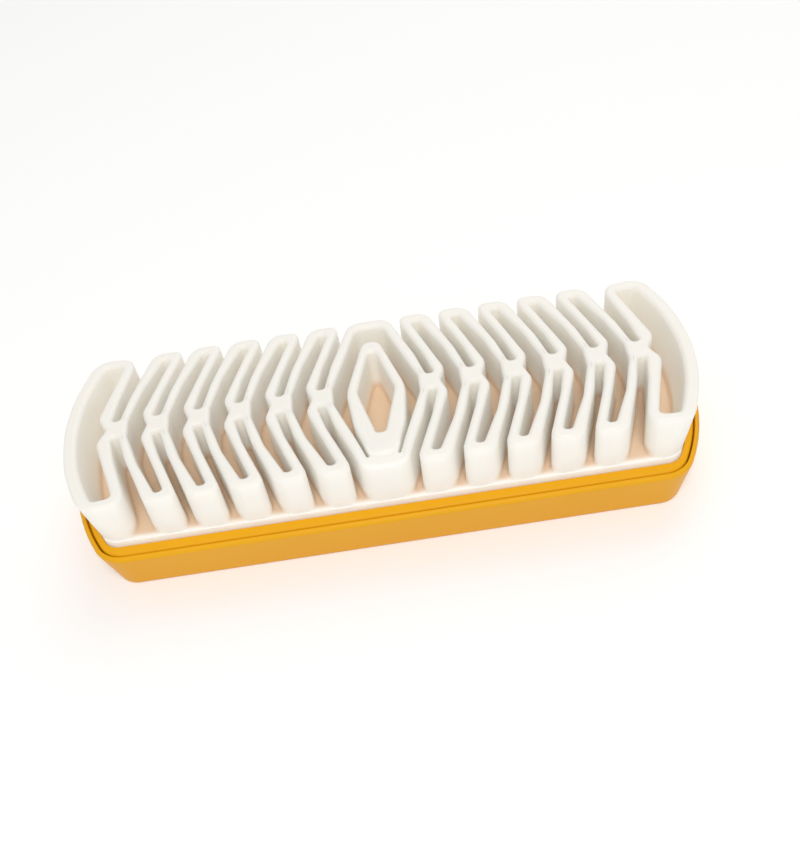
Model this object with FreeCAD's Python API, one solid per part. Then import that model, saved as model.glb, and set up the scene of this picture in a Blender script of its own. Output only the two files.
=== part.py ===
import FreeCAD, Part
import math
import os

# Suede brush: a white rubber pad of folded walls in a yellow two-piece plastic handle.
# X runs along the brush, Y across it, Z up; the origin is under the middle of the flat back it lies on.
# Sizes are in millimetres and degrees.

# Handle shell
length = 130.0            # over the rim, end to end
width = 48.5              # over the rim, side to side
end_radius = 42.0         # bulge of both ends in plan
corner_radius = 7.0       # rim corners in plan
rim_height = 11.3         # rim above the flat back
foot_inset = 2.4          # how far the flat back is drawn in from the rim
foot_round = 0.8          # edge round the flat back
rim_lip = 1.0             # thickness of the rim beside the seam
rim_round = 0.7           # soft outer edge of the rim
shell_wall = 2.0
shell_floor = 2.2
shelf_height = 8.6        # shelf that the frame and the pad rest on
shelf_thickness = 1.6
shelf_bearing = 1.0       # how far the shelf reaches under the pad
rib_thickness = 1.6
rib_spacing = 20.0

# Pad frame
seam_gap = 0.3            # open seam between rim and frame
frame_side = 2.2          # frame seen beside the pad's long sides
frame_end = 1.4           # frame seen beyond the pad's ends
frame_round = 0.5
lip_thickness = 1.5       # frame above the pad's flange
bead_count = 3            # snap beads on each long side
bead_spacing = 36.0
bead_length = 10.0
bead_height = 0.8
bead_depth = 0.55         # stands out of the frame, across the seam and into the rim
bead_level = 9.5          # underside of the beads
bead_gap = 0.12           # room round a bead in its groove

# Rubber pad
pad_gap = 0.1             # room round the pad in the frame's window
flange_width = 0.6        # pad's edge that the frame's lip holds down
floor_height = 12.8       # floor between the walls
pad_height = 23.4         # tops of the walls
wall_setback = 0.3        # walls stand in from the edge of the floor
least_pitch = 8.3         # chevrons are spread evenly along the pad, no closer than this
first_waist = 11.3        # middle of the brush to the first waist
waist_inward = 2.65       # middle of a waist to its side nearer the middle of the brush
waist_outward = 3.0       # middle of a waist to its outward side
waist_core = 4.5          # solid rubber between the far and near open slots
notch_depth = 1.15        # nick in the outward side of each waist
notch_reach = 3.3         # half the length of that nick
arm_lean = 15.0           # arms lean towards the middle as they leave the waists
fold_lean = 21.0          # and lean more from their bend to the folds
arm_bend = 8.5            # middle line to that bend
open_slot = 1.65          # slot inside a waist, open at the long side
closed_slot = 2.2         # slot inside a fold, closed at the long side
slot_bend = 8.0           # from a fold to the bend in its slot's outward side
slot_bulge = 0.35         # a closed slot is wider by this at the bend
slot_taper = 0.6          # and narrower by this at the fold
bend_round = 8.0          # bends of the slots
fold_wall = 2.3           # rubber between a closed slot and the long side
fold_round = 3.1          # blunt outer corners of the folds in plan
fold_corner = 1.8         # sharp outer corners of the folds, on the side that the arms lean to
end_wall = 2.7            # bowed wall across each end
end_lean = 1.9            # how far the end walls' tops lean outwards
end_slot = 2.2            # room between the last waist and the end wall
end_slot_fold = 2.3       # the same room beside the folds, at the floor
end_waist_extra = 0.7     # last waist is thicker outwards, and nicked as much deeper
slot_round = 0.75         # ends of the closed slots
end_slot_round = 0.95     # ends of the end slots, at the end wall
end_fold_round = 1.15     # ends of the end slots, at the folds
open_round = 0.7          # inner ends of the open slots
arch_ratio = 0.68         # far corners of the slot round the diamond; 1 is half the slot's width there
knee_round = 1.0          # bends of the arms beside the waists
bump_round = 2.4          # bumps on both sides of a nick
diamond_half_width = 6.0
diamond_belly = 9.0       # middle line to the bend in the diamond's near half
diamond_belly_half = 5.15 # half its width there
diamond_far_gap = 4.05    # slot between the diamond's far tip and the middle fold beyond it
diamond_tip_half = 1.8    # half the blunt far tip
diamond_root_gap = 0.85   # from the diamond's near tip to the inside of the other folds
root_slot = 0.55          # slot that is left on both sides of the near tip
diamond_round = 9.0       # side corners of the diamond
belly_round = 12.0
hole_half_width = 3.8
hole_far_gap = 3.4        # rubber between the hole and the diamond's far tip
hole_near_gap = 5.6       # rubber between the hole and the diamond's near tip
hole_tip_half = 0.9
hole_round = 4.0          # side corners of the hole
narrow_ratio = 0.9        # ends of the hole and of the slot beside the near tip; 1 is a full half circle
tip_groove = 0.9          # shallow groove where the near tip meets the middle fold
edge_round = 0.6          # soft top edges of the rubber

# Lengths closer than this are taken as equal
nearness = 1e-4

# Worked out from the sizes above
taper = foot_inset / rim_height
lip_level = rim_height - lip_thickness
window_inset_side = rim_lip + seam_gap + frame_side
window_inset_end = rim_lip + seam_gap + frame_end
pad_half_length = length / 2 - window_inset_end - pad_gap
pad_half_width = width / 2 - window_inset_side - pad_gap
wall_half_length = pad_half_length - wall_setback
wall_half_width = pad_half_width - wall_setback
slot_reach = wall_half_width - fold_wall
diamond_far_tip = slot_reach - diamond_far_gap
diamond_root = slot_reach - diamond_root_gap
wall_corner = corner_radius - wall_setback - fold_wall
last_waist = wall_half_length - end_wall - end_slot - waist_outward - end_waist_extra
pitch_count = int((last_waist - first_waist) / least_pitch)
pitch = (last_waist - first_waist) / pitch_count
waists = [first_waist + pitch * i for i in range(pitch_count + 1)]


def point(x, y, z=0.0):
    return FreeCAD.Vector(x, y, z)


def rounded_wire(corners, z):
    """Closed wire through (x, y, radius) corners, each rounded by its radius."""
    starts = []
    ends = []
    middles = []
    for i, (x, y, radius) in enumerate(corners):
        corner = point(x, y, z)
        before = point(corners[i - 1][0], corners[i - 1][1], z) - corner
        after = point(corners[(i + 1) % len(corners)][0], corners[(i + 1) % len(corners)][1], z) - corner
        before.normalize()
        after.normalize()
        half_angle = before.getAngle(after) / 2
        bisector = before + after
        bisector.normalize()
        reach = radius / math.tan(half_angle)
        starts.append(corner + before * reach)
        ends.append(corner + after * reach)
        middles.append(corner + bisector * (radius / math.sin(half_angle) - radius))
    edges = []
    for i in range(len(corners)):
        if corners[i][2] > 0:
            edges.append(Part.Arc(starts[i], middles[i], ends[i]).toShape())
        following = starts[(i + 1) % len(corners)]
        if ends[i].distanceToPoint(following) > nearness:
            edges.append(Part.LineSegment(ends[i], following).toShape())
    return Part.Wire(edges)


def prism(corners, bottom, top):
    return Part.Face(rounded_wire(corners, bottom)).extrude(point(0, 0, top - bottom))


def loft(low_corners, low, high_corners, high):
    return Part.makeLoft([rounded_wire(low_corners, low), rounded_wire(high_corners, high)], True, True)


def bow(half_length, half_width, radius, corner):
    """Peak and shoulder of a bowed end, whose arc runs smoothly into its corner rounds."""
    slope = math.asin((half_width - corner) / (radius - corner))
    peak = half_length - radius + radius / math.cos(slope)
    return peak, peak - half_width * math.tan(slope)


def bulged(half_length, half_width, radius, corner):
    """Corners of a rectangle whose ends bow outwards; half_length is taken on the middle line."""
    peak, shoulder = bow(half_length, half_width, radius, corner)
    right = [(shoulder, -half_width, corner), (peak, 0.0, radius), (shoulder, half_width, corner)]
    left = [(-x, -y, r) for x, y, r in right]
    return right + left


def rim_outline(inset):
    return bulged(length / 2 - inset, width / 2 - inset, end_radius - inset, corner_radius - inset)


def window_outline(outset):
    """Frame's window, or a line parallel to it and outset from it."""
    return bulged(
        length / 2 - window_inset_end + outset,
        width / 2 - window_inset_side + outset,
        end_radius - window_inset_end + outset,
        corner_radius - window_inset_side + outset,
    )


def rim_inset_at(z):
    """The sides slant inwards from the rim down to the flat back."""
    return taper * (rim_height - z)


def slanted(inset, bottom, top):
    """Solid with sides parallel to the handle's outside and inset from them."""
    low = rim_outline(inset + rim_inset_at(bottom))
    high = rim_outline(inset + rim_inset_at(top))
    return loft(low, bottom, high, top)


def edges_at(shape, z):
    return [e for e in shape.Edges if max(abs(e.BoundBox.ZMin - z), abs(e.BoundBox.ZMax - z)) < nearness]


def beads(gap):
    """Short ridges on both long sides of the frame, grown by gap where they cut their grooves."""
    solids = []
    face = width / 2 - rim_lip - seam_gap - rim_inset_at(bead_level + bead_height)
    root = face - bead_height * taper - gap
    for i in range(bead_count):
        x = bead_spacing * (i - (bead_count - 1) / 2)
        bead = Part.makeBox(
            bead_length + 2 * gap,
            bead_depth + 2 * gap + face - root - gap,
            bead_height + 2 * gap,
            point(x - bead_length / 2 - gap, root, bead_level - gap),
        )
        solids.append(bead)
        solids.append(bead.mirror(point(0, 0, 0), point(0, 1, 0)))
    return Part.Compound(solids)


def make_handle_shell():
    shell = slanted(0.0, 0.0, rim_height)
    shell = shell.makeFillet(foot_round, edges_at(shell, 0.0))
    shell = shell.makeFillet(rim_round, edges_at(shell, rim_height))
    pocket = slanted(rim_lip, shelf_height, rim_height)
    cavity = slanted(shell_wall, shell_floor, shelf_height - shelf_thickness)
    opening = prism(window_outline(-shelf_bearing), shelf_height - shelf_thickness, shelf_height)
    hollow = cavity.fuse(opening)
    shell = shell.cut(pocket).cut(hollow).cut(beads(bead_gap))
    ribs = [Part.makeBox(length, rib_thickness, shelf_height, point(-length / 2, -rib_thickness / 2, 0))]
    rib_count = int((length / 2 - 2 * corner_radius) / rib_spacing)
    for i in range(-rib_count, rib_count + 1):
        x = rib_spacing * i - rib_thickness / 2
        ribs.append(Part.makeBox(rib_thickness, width, shelf_height, point(x, -width / 2, 0)))
    ribs = ribs[0].multiFuse(ribs[1:]).common(hollow)
    return shell.fuse(ribs).removeSplitter()


def make_pad_frame():
    frame = slanted(rim_lip + seam_gap, shelf_height, rim_height)
    frame = frame.makeFillet(frame_round, edges_at(frame, rim_height))
    frame = frame.fuse(beads(0.0))
    window = prism(window_outline(0.0), shelf_height, rim_height)
    rabbet = prism(window_outline(flange_width), shelf_height, lip_level)
    return frame.cut(window).cut(rabbet).removeSplitter()


def drift(y):
    """How far an arm has drawn towards the middle of the brush at y."""
    before_bend = math.tan(math.radians(arm_lean)) * (min(y, arm_bend) - waist_core / 2)
    return before_bend + math.tan(math.radians(fold_lean)) * max(y - arm_bend, 0.0)


def closed_slot_ends(waist):
    """Both sides, at the fold, of the slot that lies outwards of a waist."""
    middle = waist - drift(slot_reach) + pitch / 2
    half = closed_slot / math.cos(math.radians(fold_lean)) / 2
    return middle - half, middle + half


def end_slot_sides():
    """Fold of the end slot at the floor, then the peak and the shoulder of the end wall beside it."""
    peak, shoulder = bow(wall_half_length - end_wall, slot_reach, end_radius - end_wall, end_slot_round)
    return shoulder - end_slot_fold, peak, shoulder


def open_slot_sides(waist, y):
    """Inward and outward side of a waist's open slot, that far from the middle line."""
    half = open_slot / math.cos(math.radians(arm_lean)) / 2
    inward = waist - half - drift(y)
    outward = waist + half - drift(y)
    if waist == waists[-1]:
        arm_side = end_slot_sides()[0] - fold_wall
        outward = waist + half - (waist + half - arm_side) * drift(y) / drift(slot_reach)
    return inward, outward


def make_open_slot(waist):
    """Slot from a waist out through the far long side."""
    beyond = wall_half_width + open_slot
    inward = []
    outward = []
    for y, radius in ((waist_core / 2, open_round), (arm_bend, bend_round), (beyond, 0.0)):
        sides = open_slot_sides(waist, y)
        inward.append((sides[0], y, radius))
        outward.append((sides[1], y, radius))
    return prism(outward + inward[::-1], floor_height, pad_height)


def nicked_side(waist, end, extra, end_round):
    """Outward side of a waist from the near end of a slot to its far end."""
    side = waist + waist_outward + extra
    return [
        (end, -slot_reach, end_round),
        (side, -notch_reach, bump_round),
        (side - notch_depth - extra, 0.0, knee_round),
        (side, notch_reach, bump_round),
        (end, slot_reach, end_round),
    ]


def make_closed_slot(waist):
    """Chevron slot between a waist and the next one, closed by a fold at both long sides."""
    inner, outer = closed_slot_ends(waist)
    side = waist + pitch - waist_inward
    bend = outer + (side - outer) * slot_bend / (slot_reach - waist_core / 2) + slot_bulge
    far_half = [
        (outer - slot_taper, slot_reach, slot_round),
        (bend, slot_reach - slot_bend, bend_round),
        (side, waist_core / 2, knee_round),
    ]
    near_half = [(x, -y, r) for x, y, r in reversed(far_half)]
    inward = nicked_side(waist, inner, 0.0, slot_round)
    return prism(inward + far_half + near_half, floor_height, pad_height)


def make_end_slot(waist):
    """Wide slot between the last waist and the bowed end wall, leaning with that wall."""
    fold, peak, shoulder = end_slot_sides()
    levels = []
    for shift in (0.0, end_lean):
        bowed = [
            (shoulder + shift, slot_reach, end_slot_round),
            (peak + shift, 0.0, end_radius - end_wall),
            (shoulder + shift, -slot_reach, end_slot_round),
        ]
        levels.append(nicked_side(waist, fold, end_waist_extra, end_fold_round) + bowed)
    return loft(levels[0], floor_height, levels[1], pad_height)


def middle_slot_sides():
    """Outward side of the slot round the diamond: at its far fold, at the near tip and at the waists."""
    outer = closed_slot_ends(first_waist - pitch)[1]
    side = first_waist - waist_inward
    rise = (slot_reach - diamond_root) / (slot_reach - waist_core / 2)
    return outer, outer + (side - outer) * rise, side


def make_middle_slot():
    """Slot round three sides of the diamond, from one side of its near tip to the other."""
    outer, root_side, side = middle_slot_sides()
    root_round = narrow_ratio * root_slot / 2
    right = [
        (diamond_tip_half, diamond_far_tip, diamond_tip_half),
        (diamond_half_width, 0.0, diamond_round),
        (diamond_belly_half, -diamond_belly, belly_round),
        (root_side - root_slot, -diamond_root, root_round),
        (root_side, -diamond_root, root_round),
        (side, -waist_core / 2, knee_round),
        (side, waist_core / 2, knee_round),
        (outer, slot_reach, arch_ratio * outer),
    ]
    left = [(-x, y, r) for x, y, r in reversed(right)]
    return prism(right + left, floor_height, pad_height)


def make_diamond_hole():
    tip_round = narrow_ratio * hole_tip_half
    right = [
        (hole_tip_half, hole_near_gap - diamond_root, tip_round),
        (hole_half_width, 0.0, hole_round),
        (hole_tip_half, diamond_far_tip - hole_far_gap, tip_round),
    ]
    left = [(-x, y, r) for x, y, r in reversed(right)]
    return prism(right + left, floor_height, pad_height)


def mirrored(shapes, normal):
    return shapes + [s.mirror(point(0, 0, 0), normal) for s in shapes]


def mouth_edges(walls, places):
    """Upright edges where the open slots break out through the long sides, at these distances along them."""
    found = []
    for edge in walls.Edges:
        box = edge.BoundBox
        upright = max(box.XLength, box.YLength) < nearness < box.ZLength
        on_side = abs(abs(box.YMin) - wall_half_width) < nearness
        if upright and on_side and min(abs(abs(box.XMin) - x) for x in places) < nearness:
            found.append(edge)
    return found


def make_walls():
    low = bulged(wall_half_length, wall_half_width, end_radius, wall_corner)
    high = bulged(wall_half_length + end_lean, wall_half_width, end_radius, wall_corner)
    walls = loft(low, floor_height, high, pad_height)
    open_slots = mirrored(mirrored([make_open_slot(w) for w in waists], point(0, 1, 0)), point(1, 0, 0))
    walls = walls.cut(Part.Compound(open_slots))
    mouths = [open_slot_sides(w, wall_half_width) for w in waists]
    sharp = [outward for inward, outward in mouths[:-1]]
    blunt = [inward for inward, outward in mouths] + [mouths[-1][1]]
    walls = walls.makeFillet(fold_corner, mouth_edges(walls, sharp))
    walls = walls.makeFillet(fold_round, mouth_edges(walls, blunt))
    closed_slots = [make_closed_slot(w) for w in waists[:-1]] + [make_end_slot(waists[-1])]
    closed_slots = mirrored(closed_slots, point(1, 0, 0)) + [make_middle_slot(), make_diamond_hole()]
    walls = walls.cut(Part.Compound(closed_slots)).removeSplitter()
    walls = walls.makeFillet(edge_round, edges_at(walls, pad_height))
    tip_half = middle_slot_sides()[1] - root_slot
    groove_start = point(-tip_half, -diamond_root, pad_height)
    return walls.cut(Part.makeCylinder(tip_groove, 2 * tip_half, groove_start, point(1, 0, 0)))


def make_rubber_pad():
    floor = prism(window_outline(-pad_gap), shelf_height, floor_height)
    flange = prism(window_outline(flange_width - pad_gap), shelf_height, lip_level)
    return floor.fuse(flange).fuse(make_walls()).removeSplitter()


os.makedirs("parts", exist_ok=True)
pieces = {
    "handle_shell": make_handle_shell(),
    "pad_frame": make_pad_frame(),
    "rubber_pad": make_rubber_pad(),
}
for name, shape in pieces.items():
    box = shape.BoundBox
    print(name, "solids", len(shape.Solids), "valid", shape.isValid(), "volume", round(shape.Volume, 1),
          "box", [round(v, 2) for v in (box.XMin, box.XMax, box.YMin, box.YMax, box.ZMin, box.ZMax)])
    shape.exportStep("parts/" + name + ".step")
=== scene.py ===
import math

import bmesh
import bpy
from mathutils import Matrix, Vector, noise


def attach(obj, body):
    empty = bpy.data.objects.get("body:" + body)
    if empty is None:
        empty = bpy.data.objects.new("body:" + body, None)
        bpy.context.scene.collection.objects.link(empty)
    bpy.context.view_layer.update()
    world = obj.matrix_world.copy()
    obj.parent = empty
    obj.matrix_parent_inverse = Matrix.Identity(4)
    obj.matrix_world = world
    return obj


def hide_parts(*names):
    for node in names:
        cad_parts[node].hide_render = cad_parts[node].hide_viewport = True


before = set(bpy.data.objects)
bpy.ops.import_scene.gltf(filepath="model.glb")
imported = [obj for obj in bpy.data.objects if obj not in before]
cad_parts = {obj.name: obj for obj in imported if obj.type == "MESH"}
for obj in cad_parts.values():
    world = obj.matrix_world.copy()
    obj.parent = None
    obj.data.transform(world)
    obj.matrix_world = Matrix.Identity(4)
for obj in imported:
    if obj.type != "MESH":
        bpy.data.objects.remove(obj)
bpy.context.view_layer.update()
print("frame loaded:", sorted(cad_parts))

mm = 0.001


def hexColour(code):
    # sRGB hex to linear, with full alpha
    channels = [int(code[i:i + 2], 16) / 255 for i in (1, 3, 5)]
    return [c / 12.92 if c <= 0.04045 else ((c + 0.055) / 1.055) ** 2.4 for c in channels] + [1.0]


def addNode(tree, kind, settings=None, **links):
    # settings are properties or sockets by name; links are sockets by name, with _ for a space
    node = tree.nodes.new(kind)
    for key, value in (settings or {}).items():
        if key in node.inputs:
            node.inputs[key].default_value = value
        else:
            setattr(node, key, value)
    for key, source in links.items():
        tree.links.new(source, node.inputs[key.replace("_", " ")])
    return node


# Rubber pad: sizes in millimetres and degrees, the same as the solid that it stands for
pad = {
    # half length, half width, bow of the ends, corners
    "flange": (62.8, 21.25, 39.8, 4.0),
    "walls": (61.9, 20.35, 42.0, 4.4),
    "endSlot": (59.2, 18.05, 39.3, 0.95),
    "bowTangents": 4, "flangeWidth": 0.6,

    # heights
    "bottom": 8.6, "flangeTop": 9.8, "floor": 12.8, "top": 23.4,

    # waists along the middle line, nicked on their outward side
    "firstWaist": 11.3, "pitch": 8.4, "waists": 6,
    "waistInward": 2.65, "waistOutward": 3.0, "core": 4.5,
    "nickDepth": 1.15, "nickReach": 3.3, "kneeRound": 1.0, "bumpRound": 2.4,

    # arms from the waists to the folds, with slots open or closed at the long sides
    "armLean": 15.0, "foldLean": 21.0, "armBend": 8.5, "bendRound": 8.0,
    "openSlot": 1.65, "openRound": 0.7, "foldRound": 3.1, "foldCorner": 1.8, "foldWall": 2.3,
    "closedSlot": 2.2, "slotRound": 0.75, "bend": 8.0, "bulge": 0.35, "taper": 0.6,
    "endFold": 2.3, "endFoldRound": 1.15, "endExtra": 0.7,

    # diamond ring, the arch round it and its hole
    "diamondHalf": 6.0, "diamondRound": 9.0, "diamondFar": 14.0, "diamondTip": 1.8, "tipRound": 2.4,
    "belly": 9.0, "bellyHalf": 5.15, "bellyRound": 12.0, "archRound": 2.0,
    "diamondRoot": 17.2, "rootSlot": 0.55, "rootRound": 0.2475,
    "holeHalf": 3.8, "holeRound": 4.0, "holeFar": 10.6, "holeNear": 11.6,
    "holeTip": 0.9, "holeTipRound": 0.81,

    # crease at the diamond's near tip; rows and columns are first cut, spacing and count
    "creaseCentre": -14.2, "creaseRound": 3.1, "creaseDepth": 0.55, "creaseReach": 0.9,
    "creaseFade": (5.0, 3.4), "creaseStart": 1.5, "creaseBelow": 1.5,
    "foldDrop": 0.3, "foldDropReach": 1.2,
    "creaseZone": (6.0, -13.0), "creaseRows": (-19.2, 0.4, 14), "creaseColumns": (-3.6, 0.6, 13),

    # soft edges and feet; a foot fades out at the pad's sides and ends
    "edgeRound": 0.8, "topInset": 0.1, "footRound": 0.5, "footAtEdge": 0.05,
    "footFade": 1.8, "footEndFade": (57.0, 53.0), "slabRound": 0.12, "slabShadeAndDirt": 0.08,

    # moulding
    "draft": 0.14, "endLean": 1.9, "leanBand": (-1.9, -0.2),
    "waver": 0.1, "waverLength": 13.0, "waverRise": 0.3, "waverSeed": 5,

    # mesh
    "step": 1.7, "mostCuts": 40, "arcStep": 0.42, "arcSegments": (2, 14),
    "merge": 0.01, "cutSnap": 0.0001,
    "footTurns": 4, "wallParts": 4, "edgeTurns": 5, "slabTurns": 3,
    "tightestBend": 0.6, "sharpAngle": 40.0,
}


def withMirror(corners):
    # the same corners on the other side too, run backwards so that they close the loop
    return corners + [(-x, y, r) for x, y, r in reversed(corners)]


def withHalfTurn(corners):
    return corners + [(-x, -y, r) for x, y, r in corners]


def bowedEnd(halfLength, halfWidth, radius, corner):
    # corners of the right end, from the near side to the far side
    # the bow is a few tangents with their corners rounded
    slope = math.asin((halfWidth - corner) / (radius - corner))
    peak = halfLength - radius + radius / math.cos(slope)
    shoulder = peak - halfWidth * math.tan(slope)
    tangents = pad["bowTangents"]
    reach = radius / math.cos(slope / tangents)
    points = [(shoulder, -halfWidth, corner)]
    for i in range(tangents):
        turn = slope * ((2 * i + 1) / tangents - 1)
        points.append((halfLength - radius + reach * math.cos(turn), reach * math.sin(turn), radius))
    points.append((shoulder, halfWidth, corner))
    return points


def drift(y):
    # how far the arms have drawn towards the middle at y
    before = math.tan(math.radians(pad["armLean"])) * (min(y, pad["armBend"]) - pad["core"] / 2)
    return before + math.tan(math.radians(pad["foldLean"])) * max(y - pad["armBend"], 0.0)


def slotEnds(waist):
    reach = pad["endSlot"][1]
    middle = waist - drift(reach) + pad["pitch"] / 2
    half = pad["closedSlot"] / math.cos(math.radians(pad["foldLean"])) / 2
    return middle - half, middle + half


def nickedSide(waist, end, extra, endRound):
    reach = pad["endSlot"][1]
    side = waist + pad["waistOutward"] + extra
    return [
        (end, -reach, endRound),
        (side, -pad["nickReach"], pad["bumpRound"]),
        (side - pad["nickDepth"] - extra, 0.0, pad["kneeRound"]),
        (side, pad["nickReach"], pad["bumpRound"]),
        (end, reach, endRound),
    ]


def outerCorners(waists):
    # the folded outline: along the far side from right to left, then the same turned half round
    halfWidth = pad["walls"][1]
    reach = pad["endSlot"][1]
    half = pad["openSlot"] / math.cos(math.radians(pad["armLean"])) / 2
    endFold = bowedEnd(*pad["endSlot"])[-1][0] - pad["endFold"] - pad["foldWall"]
    bend = pad["armBend"]
    farSide = []
    for waist in reversed(waists):
        outward, inward = waist + half, waist - half
        share, corner = 1.0, pad["foldCorner"]
        if waist == waists[-1]:
            share, corner = (outward - endFold) / drift(reach), pad["foldRound"]
        farSide += [
            (outward - share * drift(halfWidth), halfWidth, corner),
            (outward - share * drift(bend), bend, pad["bendRound"]),
            (outward, pad["core"] / 2, pad["openRound"]),
            (inward, pad["core"] / 2, pad["openRound"]),
            (inward - drift(bend), bend, pad["bendRound"]),
            (inward - drift(halfWidth), halfWidth, pad["foldRound"]),
        ]
    return withHalfTurn(bowedEnd(*pad["walls"]) + withMirror(farSide))


def slotCorners(waists):
    # every slot that the folds close, the wide ones at the ends last
    reach = pad["endSlot"][1]
    slots = []
    for waist in waists[:-1]:
        inner, outer = slotEnds(waist)
        side = waist + pad["pitch"] - pad["waistInward"]
        bend = outer + (side - outer) * pad["bend"] / (reach - pad["core"] / 2) + pad["bulge"]
        farHalf = [
            (outer - pad["taper"], reach, pad["slotRound"]),
            (bend, reach - pad["bend"], pad["bendRound"]),
            (side, pad["core"] / 2, pad["kneeRound"]),
        ]
        nearHalf = [(x, -y, r) for x, y, r in reversed(farHalf)]
        slots.append(nickedSide(waist, inner, 0.0, pad["slotRound"]) + farHalf + nearHalf)
    bow = bowedEnd(*pad["endSlot"])
    endFold = bow[-1][0] - pad["endFold"]
    foldSide = nickedSide(waists[-1], endFold, pad["endExtra"], pad["endFoldRound"])
    slots.append(foldSide + bow[::-1])
    return slots + [[(-x, y, r) for x, y, r in slot] for slot in slots]


def diamondCorners(waists):
    # the slot between the arch and the diamond ring, and the hole in the ring
    reach, root, core = pad["endSlot"][1], pad["diamondRoot"], pad["core"] / 2
    outer = slotEnds(waists[0] - pad["pitch"])[1]
    side = waists[0] - pad["waistInward"]
    rootSide = outer + (side - outer) * (reach - root) / (reach - core)
    slot = [
        (pad["diamondTip"], pad["diamondFar"], pad["tipRound"]),
        (pad["diamondHalf"], 0.0, pad["diamondRound"]),
        (pad["bellyHalf"], -pad["belly"], pad["bellyRound"]),
        (rootSide - pad["rootSlot"], -root, pad["rootRound"]),
        (rootSide, -root, pad["rootRound"]),
        (side, -core, pad["kneeRound"]),
        (side, core, pad["kneeRound"]),
        (outer, reach, pad["archRound"]),
    ]
    hole = [
        (pad["holeTip"], -pad["holeNear"], pad["holeTipRound"]),
        (pad["holeHalf"], 0.0, pad["holeRound"]),
        (pad["holeTip"], pad["holeFar"], pad["holeTipRound"]),
    ]
    return [withMirror(slot), withMirror(hole)]


def drawLoop(bm, corners, z):
    # wire through the corners, each one rounded
    fewest, most = pad["arcSegments"]
    verts = [bm.verts.new((x, y, z)) for x, y, r in corners]
    for i in range(len(verts)):
        bm.edges.new((verts[i - 1], verts[i]))
    for i, (x, y, r) in enumerate(corners):
        here = Vector((x, y))
        before = Vector(corners[i - 1][:2]) - here
        after = Vector(corners[(i + 1) % len(corners)][:2]) - here
        angle = before.angle(after)
        segments = math.ceil(r * (math.pi - angle) / pad["arcStep"])
        bmesh.ops.bevel(bm, geom=[verts[i]], offset=r / math.tan(angle / 2), offset_type="OFFSET",
                        segments=min(max(segments, fewest), most), profile=0.5, affect="VERTICES",
                        clamp_overlap=False, material=-1)


def cutIntoSteps(bm):
    bmesh.ops.remove_doubles(bm, verts=bm.verts, dist=pad["merge"])
    for cuts in range(pad["mostCuts"], 0, -1):
        edges = [e for e in bm.edges if int(e.calc_length() / pad["step"]) == cuts]
        if edges:
            bmesh.ops.subdivide_edges(bm, edges=edges, cuts=cuts)


def findRings(bm):
    # each wire as its vertices in order, running anticlockwise, the largest first
    rings = []
    left = set(bm.verts)
    for first in bm.verts:
        if first not in left:
            continue
        ring = [first]
        last = None
        while True:
            last = next(e for e in ring[-1].link_edges if e is not last)
            following = last.other_vert(ring[-1])
            if following is first:
                break
            ring.append(following)
        left -= set(ring)
        pairs = [(ring[i - 1].co, ring[i].co) for i in range(len(ring))]
        area = sum(a.x * b.y - b.x * a.y for a, b in pairs) / 2
        rings.append((abs(area), ring if area > 0 else ring[::-1]))
    rings.sort(key=lambda pair: -pair[0])
    return [ring for area, ring in rings]


def airSide(ring):
    # for each vertex, the way out of the rubber, long enough to keep an offset even round the bends
    ways = []
    for i, vert in enumerate(ring):
        before = (vert.co - ring[i - 1].co).to_2d().normalized()
        after = (ring[(i + 1) % len(ring)].co - vert.co).to_2d().normalized()
        way = Vector((before.y + after.y, -before.x - after.x)).normalized()
        ways.append(way / max(pad["tightestBend"], way.dot(Vector((after.y, -after.x)))))
    return ways


def ringEdges(bm, ring):
    return [bm.edges.get((ring[i - 1], ring[i])) for i in range(len(ring))]


def raiseRing(bm, ring, places):
    # extrude a closed ring of edges and put the new ring in its places
    made = bmesh.ops.extrude_edge_only(bm, edges=ringEdges(bm, ring))["geom"]
    fresh = {v for v in made if isinstance(v, bmesh.types.BMVert)}
    raised = [next(e.other_vert(v) for e in v.link_edges if e.other_vert(v) in fresh) for v in ring]
    for vert, place in zip(raised, places):
        vert.co = place
    return raised


def fillBetween(bm, rings):
    edges = [e for ring in rings for e in ringEdges(bm, ring)]
    bmesh.ops.triangle_fill(bm, use_beauty=True, use_dissolve=False, edges=edges, normal=(0, 0, 1))


def smoothStep(low, high, value):
    # 0 at low to 1 at high, which may lie below low
    t = min(max((value - low) / (high - low), 0.0), 1.0)
    return t * t * (3 - 2 * t)


def settle(x, y, z):
    # moulded rubber: the end walls lean outwards and the tops waver a little
    height = max(0.0, (z - pad["floor"]) / (pad["top"] - pad["floor"]))
    halfLength, _, radius, _ = pad["endSlot"]
    endWall = halfLength - radius + math.sqrt(radius ** 2 - y ** 2)
    lean = pad["endLean"] * height * smoothStep(*pad["leanBand"], abs(x) - endWall)
    spot = Vector((x, y, z * pad["waverRise"])) / pad["waverLength"]
    waver = noise.noise_vector(spot) * pad["waver"] * height
    return Vector((x + math.copysign(lean, x) + waver.x, y + waver.y, z))


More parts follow.
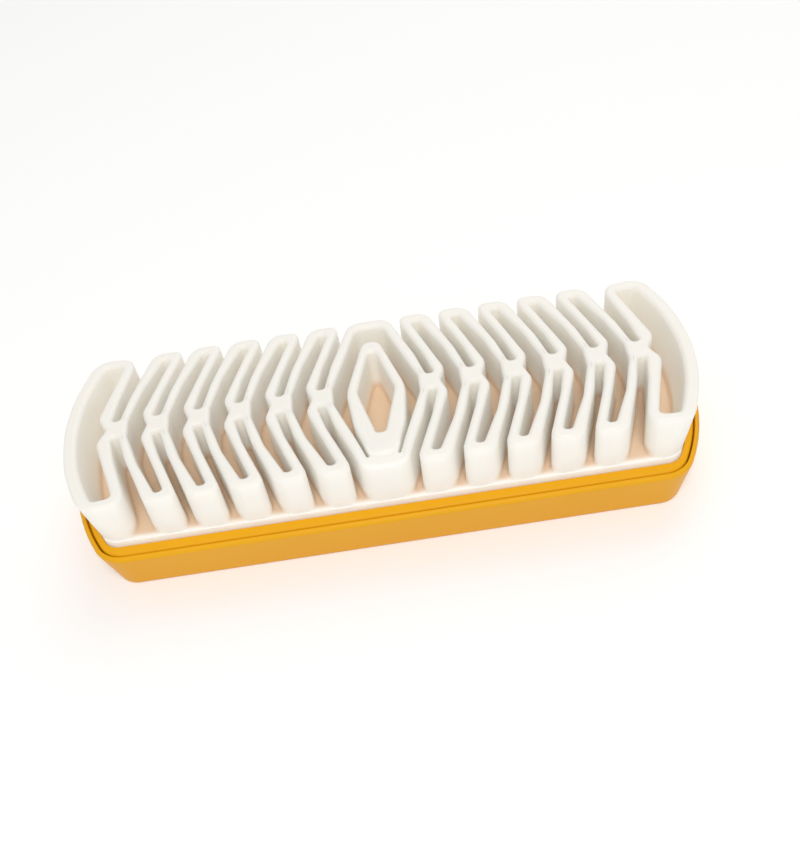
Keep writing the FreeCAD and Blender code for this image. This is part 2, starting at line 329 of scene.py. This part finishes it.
def pressCrease(bm):
    # the diamond's near tip ends in a round crease, and the fold beyond it sits a little lower
    top, centre = pad["top"], pad["creaseCentre"]
    halfZone, zoneEnd = pad["creaseZone"]
    fadeFrom, fadeTo = pad["creaseFade"]

    def isTop(face):
        middle = face.calc_center_median()
        flat = min(v.co.z for v in face.verts) > top - pad["merge"]
        return flat and abs(middle.x) < halfZone and middle.y < zoneEnd

    for normal, (first, spacing, count) in (
        (Vector((0, 1, 0)), pad["creaseRows"]),
        (Vector((1, 0, 0)), pad["creaseColumns"]),
    ):
        for i in range(count):
            faces = [f for f in bm.faces if isTop(f)]
            geom = list(dict.fromkeys(g for f in faces for g in [f, *f.edges, *f.verts]))
            bmesh.ops.bisect_plane(bm, geom=geom, dist=pad["cutSnap"],
                                   plane_co=normal * (first + spacing * i), plane_no=normal)
    for vert in bm.verts:
        x, y, z = vert.co
        if z > top - pad["creaseBelow"] and y < centre and abs(x) < fadeFrom:
            away = math.hypot(x, y - centre) - pad["creaseRound"]
            dip = pad["creaseDepth"] * max(0.0, 1 - (away / pad["creaseReach"]) ** 2) ** 2
            dip += pad["foldDrop"] * smoothStep(0.0, pad["foldDropReach"], away)
            side = smoothStep(fadeFrom, fadeTo, abs(x))
            near = smoothStep(centre, centre - pad["creaseStart"], y)
            vert.co.z -= dip * side * near


def wallProfile():
    # outward offset and height of each ring, from the floor to the flat of the tops
    floor, top, foot, edge = pad["floor"], pad["top"], pad["footRound"], pad["edgeRound"]
    profile = []
    for i in range(pad["footTurns"] + 1):
        turn = math.radians(90 / pad["footTurns"] * i)
        profile.append((foot * (1 - math.sin(turn)), floor + foot * (1 - math.cos(turn)), True))
    for i in range(1, pad["wallParts"]):
        part = i / pad["wallParts"]
        profile.append((0.0, floor + foot + (top - edge - floor - foot) * part, False))
    for i in range(pad["edgeTurns"] + 1):
        turn = math.radians(90 / pad["edgeTurns"] * i)
        profile.append((-edge * (1 - math.cos(turn)), top - edge * (1 - math.sin(turn)), False))
    profile.append((-edge - pad["topInset"], top, False))
    return profile


def footRoom(spot):
    # 1 in among the walls, 0 out at the pad's sides and ends
    side = smoothStep(0.0, pad["footFade"], pad["walls"][1] - abs(spot.y))
    return side * smoothStep(*pad["footEndFade"], abs(spot.x))


def raiseWalls(bm, slotShadeAndDirt, loops):
    floor, top, edge = pad["floor"], pad["top"], pad["edgeRound"]
    leastFoot = pad["footAtEdge"] / pad["footRound"]
    profile = wallProfile()
    tops = []
    for ring in loops:
        isHole = ring is not loops[0]
        if isHole:
            ring.reverse()
        ways = airSide(ring)
        plan = [v.co.to_2d() for v in ring]
        rooms = [1.0 if isHole else footRoom(spot) for spot in plan]
        # the painted shade and dirt mask follows the room among the walls
        for vert, room in zip(ring, rooms):
            vert[slotShadeAndDirt] = room
        feet = [leastFoot + (1 - leastFoot) * room for room in rooms]
        for offset, z, isFoot in profile:
            below = min(1.0, max(0.0, (top - edge - z) / (top - floor)))
            places = []
            for spot, way, foot in zip(plan, ways, feet):
                reach = offset * (foot if isFoot else 1.0) + pad["draft"] * foot * below
                places.append(settle(spot.x + way.x * reach, spot.y + way.y * reach, z))
            if z == floor:
                for vert, place in zip(ring, places):
                    vert.co = place
                if isHole:
                    fillBetween(bm, [ring])
            else:
                ring = raiseRing(bm, ring, places)
        tops.append(ring)
    fillBetween(bm, tops)


def addSlab(bm, slotShadeAndDirt, flange, outerFoot):
    # slab under the walls, with the flange that the frame holds down
    # the slab's strip gets a little of the painted shade and dirt
    for vert in flange:
        vert[slotShadeAndDirt] = pad["slabShadeAndDirt"]
    fillBetween(bm, [flange])
    rise = Vector((0, 0, pad["flangeTop"] - pad["bottom"]))
    ring = raiseRing(bm, flange, [v.co + rise for v in flange])
    ways = airSide(ring)
    plan = [v.co.to_2d() - way * pad["flangeWidth"] for v, way in zip(ring, ways)]
    soft = pad["slabRound"]
    steps = [(0.0, pad["flangeTop"])]
    for i in range(pad["slabTurns"] + 1):
        turn = math.radians(90 / pad["slabTurns"] * i)
        steps.append((soft * (1 - math.cos(turn)), pad["floor"] - soft * (1 - math.sin(turn))))
    for shrink, z in steps:
        places = [Vector((spot.x - way.x * shrink, spot.y - way.y * shrink, z))
                  for spot, way in zip(plan, ways)]
        ring = raiseRing(bm, ring, places)
    fillBetween(bm, [ring, outerFoot])


def makeRubberPad(material):
    noise.seed_set(pad["waverSeed"])  # the same waver each run
    waists = [pad["firstWaist"] + pad["pitch"] * i for i in range(pad["waists"])]
    bm = bmesh.new()
    slotShadeAndDirt = bm.verts.layers.float.new("slotShadeAndDirt")  # painted shade and dirt mask: 1 down in the slots, 0 on the folds' fronts
    drawLoop(bm, withHalfTurn(bowedEnd(*pad["flange"])), pad["bottom"])
    for corners in [outerCorners(waists)] + slotCorners(waists) + diamondCorners(waists):
        drawLoop(bm, corners, pad["floor"])
    cutIntoSteps(bm)
    flange, *loops = findRings(bm)
    raiseWalls(bm, slotShadeAndDirt, loops)
    pressCrease(bm)
    print("folded walls:", len(loops), "outlines,", len(bm.faces), "faces")
    addSlab(bm, slotShadeAndDirt, flange, loops[0])

    bmesh.ops.recalc_face_normals(bm, faces=bm.faces)
    openEdges = [e for e in bm.edges if not e.is_manifold]
    for face in bm.faces:
        face.smooth = True
    for edge in bm.edges:
        if edge.is_manifold and edge.calc_face_angle() > math.radians(pad["sharpAngle"]):
            edge.smooth = False
    bmesh.ops.scale(bm, vec=(mm, mm, mm), verts=bm.verts)
    mesh = bpy.data.meshes.new("rubberPad")
    bm.to_mesh(mesh)
    triangles = sum(len(f.verts) - 2 for f in bm.faces)
    bm.free()
    piece = bpy.data.objects.new("rubberPad", mesh)
    bpy.context.scene.collection.objects.link(piece)
    mesh.materials.append(material)
    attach(piece, "root")
    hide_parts("rubber_pad")
    print("rubber pad:", triangles, "triangles,", len(openEdges), "open edges")


def startMaterial(name):
    material = bpy.data.materials.new(name)
    material.use_nodes = True
    material.node_tree.nodes.clear()
    return material, material.node_tree


# Vulcanised crepe rubber, moulded: milky, dull skin; painted shade and dirt warm it low in the
# slots; painted shade dulls the tops
rubberFinish = {
    "top": "#fdf9f1", "cloud": "#f9f3e8", "cloudSize": 9.0, "cloudDetail": 4.0,
    # painted shade and dirt: tan low down in the slots
    "shadeAndDirt": "#dfbf9c", "shadeAndDirtFrom": 12.6, "shadeAndDirtTo": 15.6,
    # painted shade: the flat tops a little greyer than the walls
    "paintedTopShade": "#ece8df", "paintedTopShadeFrom": 22.7, "paintedTopShadeTo": 23.3,
    "grainSize": 0.35, "grainDetail": 3.0,  # coarser than real skin, so that it shows
    "grainDepth": 0.02, "grainStrength": 0.35, "roughness": (0.42, 0.56), "ior": 1.52,
    "bleed": 0.6, "bleedDepth": 2.0, "bleedColour": (1.0, 0.86, 0.72),
}


def makeRubber():
    finish = rubberFinish
    material, tree = startMaterial("mouldedCrepeRubber")
    place = addNode(tree, "ShaderNodeTexCoord").outputs["Object"]
    cloud = addNode(tree, "ShaderNodeTexNoise", {
        "Scale": 1 / (finish["cloudSize"] * mm), "Detail": finish["cloudDetail"],
    }, Vector=place)
    skin = addNode(tree, "ShaderNodeMix", {
        "data_type": "RGBA", "A": hexColour(finish["top"]), "B": hexColour(finish["cloud"]),
    }, Factor=cloud.outputs["Fac"])

    height = addNode(tree, "ShaderNodeSeparateXYZ", Vector=place).outputs["Z"]
    # painted shade and dirt low in the slots, by height and the slot mask
    low = addNode(tree, "ShaderNodeMapRange", {
        "From Min": finish["shadeAndDirtFrom"] * mm, "From Max": finish["shadeAndDirtTo"] * mm,
        "To Min": 1.0, "To Max": 0.0, "interpolation_type": "SMOOTHSTEP",
    }, Value=height)
    slotShadeAndDirt = addNode(tree, "ShaderNodeAttribute", {"attribute_name": "slotShadeAndDirt"})
    depth = addNode(tree, "ShaderNodeMix", {
        "data_type": "FLOAT", "A": 0.0,
    }, Factor=slotShadeAndDirt.outputs["Fac"], B=low.outputs["Result"])
    warm = addNode(tree, "ShaderNodeMix", {
        "data_type": "RGBA", "B": hexColour(finish["shadeAndDirt"]),
    }, Factor=depth.outputs["Result"], A=skin.outputs["Result"])
    # painted shade on the flat tops, by height
    high = addNode(tree, "ShaderNodeMapRange", {
        "From Min": finish["paintedTopShadeFrom"] * mm, "From Max": finish["paintedTopShadeTo"] * mm,
        "interpolation_type": "SMOOTHSTEP",
    }, Value=height)
    tint = addNode(tree, "ShaderNodeMix", {
        "data_type": "RGBA", "B": hexColour(finish["paintedTopShade"]),
    }, Factor=high.outputs["Result"], A=warm.outputs["Result"])

    grain = addNode(tree, "ShaderNodeTexNoise", {
        "Scale": 1 / (finish["grainSize"] * mm), "Detail": finish["grainDetail"],
    }, Vector=place)
    rough = addNode(tree, "ShaderNodeMapRange", {
        "To Min": finish["roughness"][0], "To Max": finish["roughness"][1],
    }, Value=grain.outputs["Fac"])
    bump = addNode(tree, "ShaderNodeBump", {
        "Strength": finish["grainStrength"], "Distance": finish["grainDepth"] * mm,
    }, Height=grain.outputs["Fac"])
    shader = addNode(tree, "ShaderNodeBsdfPrincipled", {
        "IOR": finish["ior"], "Subsurface Weight": finish["bleed"],
        "Subsurface Radius": finish["bleedColour"], "Subsurface Scale": finish["bleedDepth"] * mm,
    }, Base_Color=tint.outputs["Result"], Roughness=rough.outputs["Result"],
                     Normal=bump.outputs["Normal"])
    addNode(tree, "ShaderNodeOutputMaterial", Surface=shader.outputs["BSDF"])
    return material


# ABS, injection moulded with a satin spark finish: even strong yellow, fine sparkle, soft gloss
plasticFinish = {
    "yellow": "#e69e0b", "shade": "#e19709", "cloudSize": 28.0, "cloudDetail": 3.0,
    "sparkSize": 0.22, "sparkDetail": 2.0,  # coarser than a real spark finish, so that it shows
    "sparkDepth": 0.012, "sparkStrength": 0.3, "roughness": (0.36, 0.5), "ior": 1.53, "gloss": 0.08,
}


def makePlastic():
    finish = plasticFinish
    material, tree = startMaterial("satinMouldedAbs")
    place = addNode(tree, "ShaderNodeTexCoord").outputs["Object"]
    cloud = addNode(tree, "ShaderNodeTexNoise", {
        "Scale": 1 / (finish["cloudSize"] * mm), "Detail": finish["cloudDetail"],
    }, Vector=place)
    body = addNode(tree, "ShaderNodeMix", {
        "data_type": "RGBA", "A": hexColour(finish["yellow"]), "B": hexColour(finish["shade"]),
    }, Factor=cloud.outputs["Fac"])
    spark = addNode(tree, "ShaderNodeTexNoise", {
        "Scale": 1 / (finish["sparkSize"] * mm), "Detail": finish["sparkDetail"],
    }, Vector=place)
    rough = addNode(tree, "ShaderNodeMapRange", {
        "To Min": finish["roughness"][0], "To Max": finish["roughness"][1],
    }, Value=spark.outputs["Fac"])
    bump = addNode(tree, "ShaderNodeBump", {
        "Strength": finish["sparkStrength"], "Distance": finish["sparkDepth"] * mm,
    }, Height=spark.outputs["Fac"])
    shader = addNode(tree, "ShaderNodeBsdfPrincipled", {
        "IOR": finish["ior"], "Specular IOR Level": finish["gloss"],
    }, Base_Color=body.outputs["Result"], Roughness=rough.outputs["Result"],
                     Normal=bump.outputs["Normal"])
    addNode(tree, "ShaderNodeOutputMaterial", Surface=shader.outputs["BSDF"])
    return material


makeRubberPad(makeRubber())
plastic = makePlastic()
for name in ("handle_shell", "pad_frame"):
    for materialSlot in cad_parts[name].material_slots:
        materialSlot.material = plastic
print("finishes: rubber and plastic")


# Studio: pale floor, big soft lights, camera as in the photograph; metres and watts
studio = {
    "floor": "#fdfdfc", "floorRoughness": 0.9, "floorReach": 4.0,
    "sky": "#ffffff", "skyStrength": 0.44,
    "tone": 1.2,  # the photograph is brightened in its middle tones
    "aim": (0.0, 0.0, 0.01),
    "key": {"from": (0.03, -0.55, 1.04), "size": 0.5, "watts": 7.9},
    "fill": {"from": (0.3, 0.75, 0.8), "size": 0.9, "watts": 2.6},
}

photoView = {
    "eye": (7.3, -147.9, 173.8),  # millimetres
    "right": (0.98817, -0.10143, -0.11505),
    "up": (0.15227, 0.73829, 0.65711),
    "back": (0.01829, -0.66685, 0.74500),
    "lens": 43.63, "sensor": 36.0, "nearest": 0.01,
}


def makeFloor():
    material = bpy.data.materials.new("paintedStudioFloor")  # matt paint, nearly even
    material.use_nodes = True
    shader = material.node_tree.nodes["Principled BSDF"]
    shader.inputs["Base Color"].default_value = hexColour(studio["floor"])
    shader.inputs["Roughness"].default_value = studio["floorRoughness"]
    bm = bmesh.new()
    bmesh.ops.create_grid(bm, x_segments=1, y_segments=1, size=studio["floorReach"])
    mesh = bpy.data.meshes.new("studioFloor")
    bm.to_mesh(mesh)
    bm.free()
    mesh.materials.append(material)
    floor = bpy.data.objects.new("studioFloor", mesh)
    bpy.context.scene.collection.objects.link(floor)


def makeLight(name):
    lightSet = studio[name]
    light = bpy.data.lights.new(name + "Light", "AREA")
    light.shape = "DISK"
    light.size = lightSet["size"]
    light.energy = lightSet["watts"]
    lamp = bpy.data.objects.new(name + "Light", light)
    lamp.location = lightSet["from"]
    beam = Vector(studio["aim"]) - Vector(lightSet["from"])
    lamp.rotation_euler = beam.to_track_quat("-Z", "Y").to_euler()
    bpy.context.scene.collection.objects.link(lamp)


def makeCamera():
    turn = Matrix([photoView[side] for side in ("right", "up", "back")]).transposed()
    data = bpy.data.cameras.new("photoCamera")
    data.sensor_width = photoView["sensor"]
    data.lens = photoView["lens"]
    data.clip_start = photoView["nearest"]
    camera = bpy.data.objects.new("photoCamera", data)
    camera.matrix_world = Matrix.Translation(Vector(photoView["eye"]) * mm) @ turn.to_4x4()
    bpy.context.scene.collection.objects.link(camera)
    bpy.context.scene.camera = camera


def makeSky():
    world = bpy.data.worlds.new("softSky")
    world.use_nodes = True
    background = world.node_tree.nodes["Background"]
    background.inputs["Color"].default_value = hexColour(studio["sky"])
    background.inputs["Strength"].default_value = studio["skyStrength"]
    bpy.context.scene.world = world


makeFloor()
makeLight("key")
makeLight("fill")
makeCamera()
makeSky()
bpy.context.scene.view_settings.view_transform = "Standard"
bpy.context.scene.view_settings.gamma = studio["tone"]
print("studio ready")
